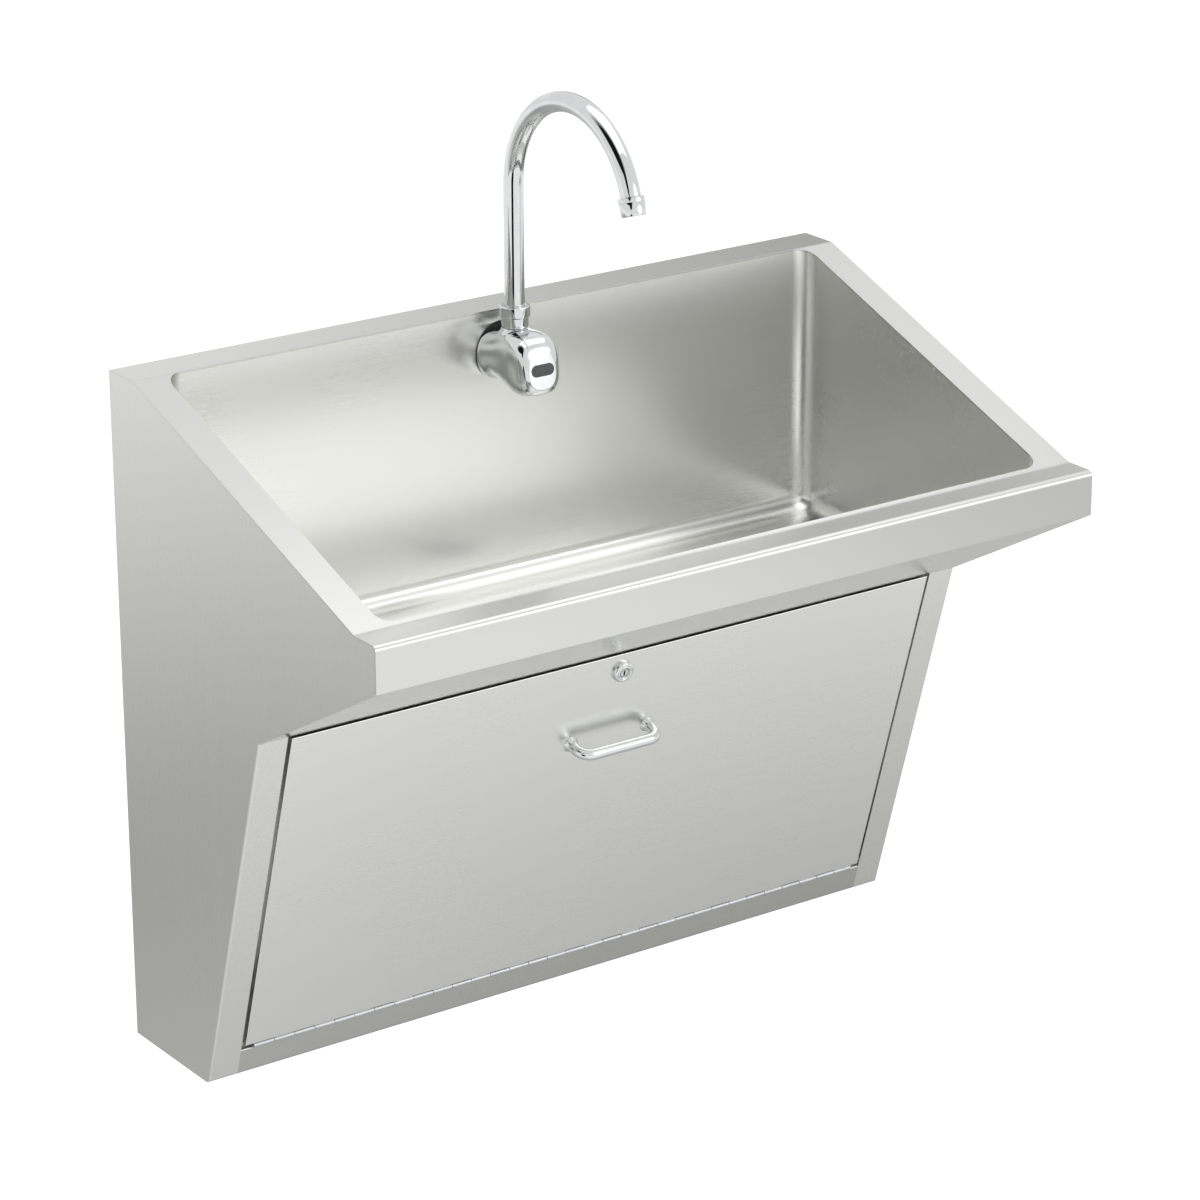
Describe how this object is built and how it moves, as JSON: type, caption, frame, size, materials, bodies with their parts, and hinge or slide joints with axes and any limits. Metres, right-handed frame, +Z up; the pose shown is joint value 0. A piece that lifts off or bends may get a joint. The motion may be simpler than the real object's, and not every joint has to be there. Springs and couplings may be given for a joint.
{
  "type": "surgical scrub sink",
  "caption": "Wall-hung stainless scrub sink with sloping rim, knee-clear soffit, hinged service door and sensor gooseneck faucet.",
  "frame": {"origin": "on the wall plane at the middle of the cabinet's bottom edge", "axes": "+X to the right seen from the front, +Y into the wall, +Z up"},
  "size_m": [0.9144, 0.508, 1.0272],
  "materials": {
    "stainless_sheet": "satin brushed sheet, grain along the width",
    "chrome_plate": "polished plating",
    "zinc_steel": "plain zinc plating",
    "brass": "plain cast and turned brass",
    "braid": "woven steel braid",
    "rubber": "plain black rubber",
    "sound_pad": "dull grey damping pad",
    "box_plastic": "fine moulded texture",
    "black_plastic": "fine moulded texture",
    "window_plastic": "polished dark window",
    "circuit": "lacquered board",
    "hot_plastic": "fine moulded texture",
    "cold_plastic": "fine moulded texture"
  },
  "bodies": {
    "cabinet": {"rim_deck": "stainless_sheet", "bowl": "stainless_sheet", "bowl_left_end": "stainless_sheet", "bowl_right_end": "stainless_sheet", "sound_pad": "sound_pad", "left_side_panel": "stainless_sheet", "right_side_panel": "stainless_sheet", "soffit_panel": "stainless_sheet", "bottom_pan": "stainless_sheet", "left_hanger_channel": "zinc_steel", "right_hanger_channel": "zinc_steel", "left_wall_hanger": "zinc_steel", "right_wall_hanger": "zinc_steel", "service_rail": "zinc_steel", "hinge_frame_leaf": "zinc_steel", "faucet_body": "chrome_plate", "sensor_window": "window_plastic", "foot_gasket": "rubber", "faucet_shank": "brass", "shank_washer": "zinc_steel", "shank_nut": "brass", "inlet_elbow": "brass", "spout_collar": "chrome_plate", "drain_body": "chrome_plate", "drain_gasket": "rubber", "drain_locknut": "brass", "tailpiece": "chrome_plate", "tailpiece_nut": "chrome_plate", "trap_bend": "chrome_plate", "trap_arm": "chrome_plate", "slip_nuts": "chrome_plate", "control_box_base": "box_plastic", "control_box_cover": "box_plastic", "control_board": "circuit", "battery_pack": "black_plastic", "solenoid_valve": "black_plastic", "mixing_valve": "brass", "hot_stop_valve": "brass", "cold_stop_valve": "brass", "hot_hose": "braid", "cold_hose": "braid", "mixed_hose": "braid", "spout_hose": "braid", "sensor_lead": "black_plastic"},
    "door": {"access_door": "stainless_sheet", "hinge_door_leaf": "zinc_steel", "hinge_pin": "zinc_steel", "pull_handle": "chrome_plate", "handle_screws": "zinc_steel", "lock_body": "chrome_plate", "lock_nut": "zinc_steel"},
    "lock": {"lock_plug": "chrome_plate", "lock_cam": "zinc_steel", "cam_screw": "zinc_steel"},
    "spout": {"gooseneck_spout": "chrome_plate", "aerator_shell": "chrome_plate", "aerator_screen": "black_plastic"},
    "mixing_control": {"mixing_knob": "black_plastic"},
    "hot_stop": {"hot_stop_handle": "hot_plastic"},
    "cold_stop": {"cold_stop_handle": "cold_plastic"}
  },
  "joints": [
    {"name": "door_hinge", "type": "hinge", "parent": "cabinet", "child": "door", "pos_m": [0, -0.16627, 0.03618], "axis": [1, 0, 0], "range_deg": [0, 160]},
    {"name": "lock_turn", "type": "hinge", "parent": "door", "child": "lock", "pos_m": [0, -0.2767, 0.41025], "axis": [0, -0.9594, -0.2819], "range_deg": [0, 90]},
    {"name": "spout_swivel", "type": "hinge", "parent": "cabinet", "child": "spout", "pos_m": [0, -0.0778, 0.772], "axis": [0, 0, 1], "range_deg": [-90, 90]},
    {"name": "mixing_turn", "type": "hinge", "parent": "cabinet", "child": "mixing_control", "pos_m": [0.2, -0.062, 0.325], "axis": [0, -1, 0], "range_deg": [-120, 120]},
    {"name": "hot_stop_turn", "type": "hinge", "parent": "cabinet", "child": "hot_stop", "pos_m": [-0.1016, -0.058, 0.17], "axis": [0, -1, 0], "range_deg": [0, 90]},
    {"name": "cold_stop_turn", "type": "hinge", "parent": "cabinet", "child": "cold_stop", "pos_m": [0.1016, -0.058, 0.17], "axis": [0, -1, 0], "range_deg": [0, 90]}
  ]
}
